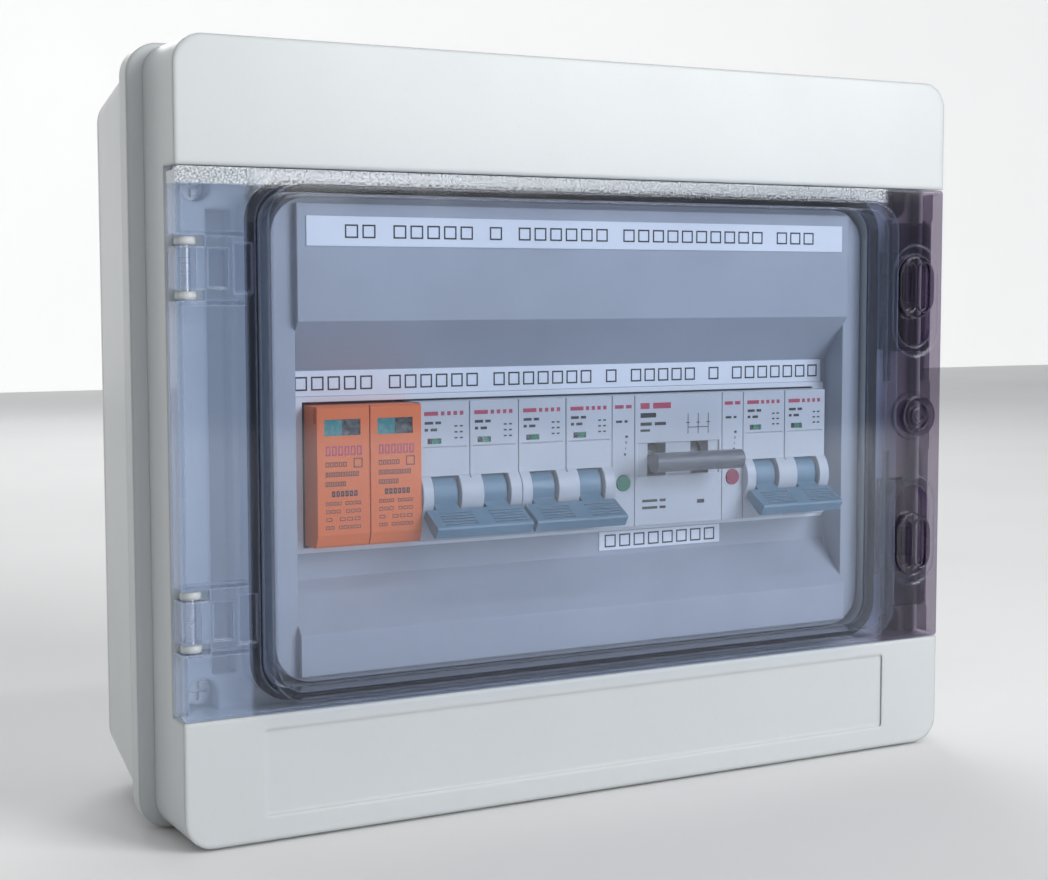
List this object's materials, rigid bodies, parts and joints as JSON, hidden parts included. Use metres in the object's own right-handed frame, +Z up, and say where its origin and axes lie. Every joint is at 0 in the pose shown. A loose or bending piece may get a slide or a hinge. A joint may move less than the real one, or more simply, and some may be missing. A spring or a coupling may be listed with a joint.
{
  "type": "surface-mounted distribution box",
  "caption": "Wall-mounted weatherproof distribution box: smoked hinged door with sliding latches over a row of rail-mounted breakers, surge cartridges, pilot lamps and a changeover switch.",
  "frame": {"origin": "centre of the base's back face, on the wall", "axes": "+X to the right seen from the front, +Y into the wall, +Z up"},
  "size_m": [0.3, 0.106, 0.243],
  "materials": {
    "enclosure": "semi-gloss, light grey",
    "seal": "soft black",
    "screw_metal": "zinc plated",
    "panel_grey": "fine satin",
    "trim_white": "white, satin",
    "label_white": "blank write-on tape",
    "rail_steel": "zinc plated strip",
    "bar_brass": "bare",
    "holder_blue": "moulded",
    "holder_green": "moulded",
    "spd_dark": "moulded",
    "spd_orange": "moulded, satin",
    "spd_window": "clear over a two-part flag",
    "blade_metal": "tinned",
    "device_grey": "moulded, satin",
    "flag_green": "printed",
    "toggle_blue_grey": "moulded, satin",
    "lens_green": "moulded",
    "lens_red": "moulded",
    "handle_grey": "moulded, satin",
    "wire_brown": "PVC insulation",
    "wire_blue": "PVC insulation",
    "wire_green_yellow": "PVC insulation",
    "smoked_door": "smoked, see-through",
    "smoked_latch": "smoked, darker where thick"
  },
  "bodies": {
    "enclosure": {"base_flange": "enclosure", "base_sides": "enclosure", "base_back": "enclosure", "screw_posts": "enclosure", "entry_plugs": "enclosure", "front_cover": "enclosure", "base_gasket": "seal", "cover_screws": "screw_metal", "rail_screws": "screw_metal", "neutral_bar_screws": "screw_metal", "earth_bar_screws": "screw_metal", "terminal_screws": "screw_metal", "hinge_pins": "screw_metal", "inner_panel": "panel_grey", "aperture_trim": "trim_white", "title_label": "label_white", "circuit_label": "label_white", "switch_label": "label_white", "din_rail": "rail_steel", "neutral_bar": "bar_brass", "earth_bar": "bar_brass", "neutral_bar_holders": "holder_blue", "earth_bar_holders": "holder_green", "spd_base": "spd_dark", "mcb_1_body": "device_grey", "mcb_2_body": "device_grey", "mcb_3_body": "device_grey", "mcb_1_flags": "flag_green", "mcb_2_flags": "flag_green", "mcb_3_flags": "flag_green", "green_lamp_body": "device_grey", "red_lamp_body": "device_grey", "green_lamp_lens": "lens_green", "red_lamp_lens": "lens_red", "changeover_body": "device_grey", "line_wires": "wire_brown", "neutral_wires": "wire_blue", "earth_wire": "wire_green_yellow"},
    "door": {"door": "smoked_door", "door_gasket": "seal", "lock_plug": "smoked_latch"},
    "upper_latch": {"upper_latch": "smoked_latch"},
    "lower_latch": {"lower_latch": "smoked_latch"},
    "spd_cartridge_1": {"spd_cartridge_1": "spd_orange", "spd_window_1": "spd_window", "spd_blades_1": "blade_metal"},
    "spd_cartridge_2": {"spd_cartridge_2": "spd_orange", "spd_window_2": "spd_window", "spd_blades_2": "blade_metal"},
    "mcb_1_toggle": {"mcb_1_toggle": "toggle_blue_grey"},
    "mcb_2_toggle": {"mcb_2_toggle": "toggle_blue_grey"},
    "mcb_3_toggle": {"mcb_3_toggle": "toggle_blue_grey"},
    "changeover_handle": {"changeover_handle": "handle_grey"}
  },
  "joints": [
    {"name": "door_hinge", "type": "hinge", "parent": "enclosure", "child": "door", "pos_m": [-0.141, -0.091, 0.0005], "axis": [0, 0, -1], "range_deg": [0, 110]},
    {"name": "upper_latch_slide", "type": "slide", "parent": "door", "child": "upper_latch", "axis": [0, 0, -1], "range_m": [0, 0.01]},
    {"name": "lower_latch_slide", "type": "slide", "parent": "door", "child": "lower_latch", "axis": [0, 0, 1], "range_m": [0, 0.01]},
    {"name": "spd_cartridge_1_slide", "type": "slide", "parent": "enclosure", "child": "spd_cartridge_1", "axis": [0, -1, 0], "range_m": [0, 0.014]},
    {"name": "spd_cartridge_2_slide", "type": "slide", "parent": "enclosure", "child": "spd_cartridge_2", "axis": [0, -1, 0], "range_m": [0, 0.014]},
    {"name": "mcb_1_toggle_turn", "type": "hinge", "parent": "enclosure", "child": "mcb_1_toggle", "pos_m": [-0.045, -0.08, -0.0195], "axis": [-1, 0, 0], "range_deg": [0, 66]},
    {"name": "mcb_2_toggle_turn", "type": "hinge", "parent": "enclosure", "child": "mcb_2_toggle", "pos_m": [-0.009, -0.08, -0.0195], "axis": [-1, 0, 0], "range_deg": [0, 66]},
    {"name": "mcb_3_toggle_turn", "type": "hinge", "parent": "enclosure", "child": "mcb_3_toggle", "pos_m": [0.081, -0.08, -0.0195], "axis": [-1, 0, 0], "range_deg": [0, 66]},
    {"name": "changeover_turn", "type": "hinge", "parent": "enclosure", "child": "changeover_handle", "pos_m": [0.036, -0.074, -0.0113], "axis": [1, 0, 0], "range_deg": [-18, 18]}
  ]
}
